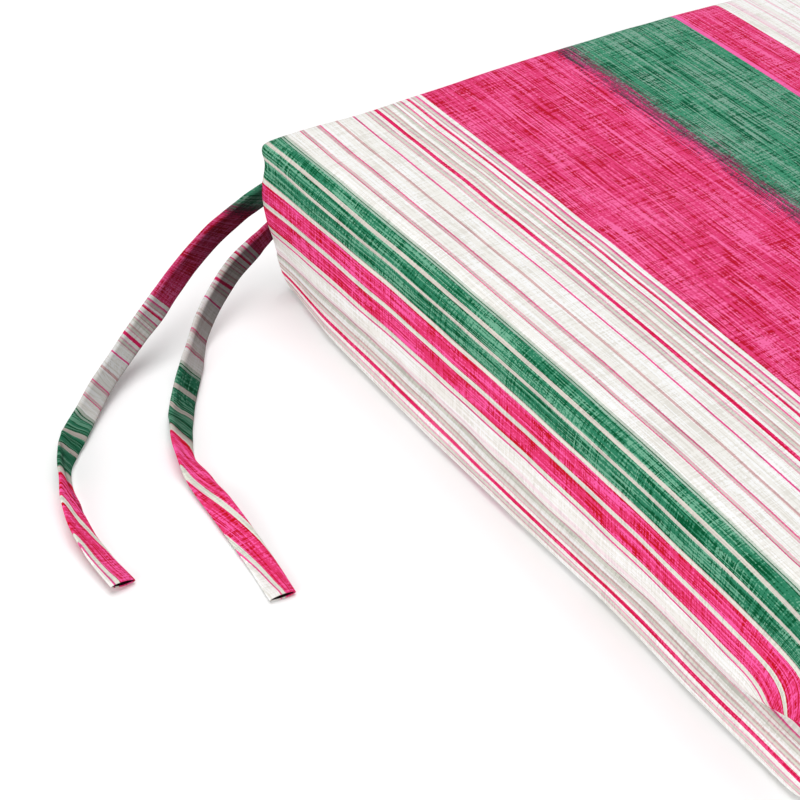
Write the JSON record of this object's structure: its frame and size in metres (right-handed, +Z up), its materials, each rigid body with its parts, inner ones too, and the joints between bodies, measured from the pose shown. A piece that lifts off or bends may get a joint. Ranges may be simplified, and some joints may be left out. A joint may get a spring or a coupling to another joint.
{
  "type": "outdoor seat cushion",
  "caption": "Square filled seat cushion for outdoor furniture, with rounded front corners, square back corners, a low side seam and fabric ties at the back corners.",
  "frame": {"origin": "middle of the underside, on the surface that the cushion lies on", "axes": "+Z up through the top panel, +Y towards the back edge whose corners carry the ties, +X to the right seen from the front"},
  "size_m": [0.7714, 0.5241, 0.1115],
  "materials": {
    "cushion_fabric": "matte woven polyester, striped in pink, green and off-white",
    "tie_fabric": "matte woven polyester, folded and topstitched"
  },
  "bodies": {
    "root": {"cushion": "cushion_fabric", "tie_left_upper": "tie_fabric", "tie_left_lower": "tie_fabric", "tie_right_upper": "tie_fabric", "tie_right_lower": "tie_fabric"}
  },
  "joints": []
}
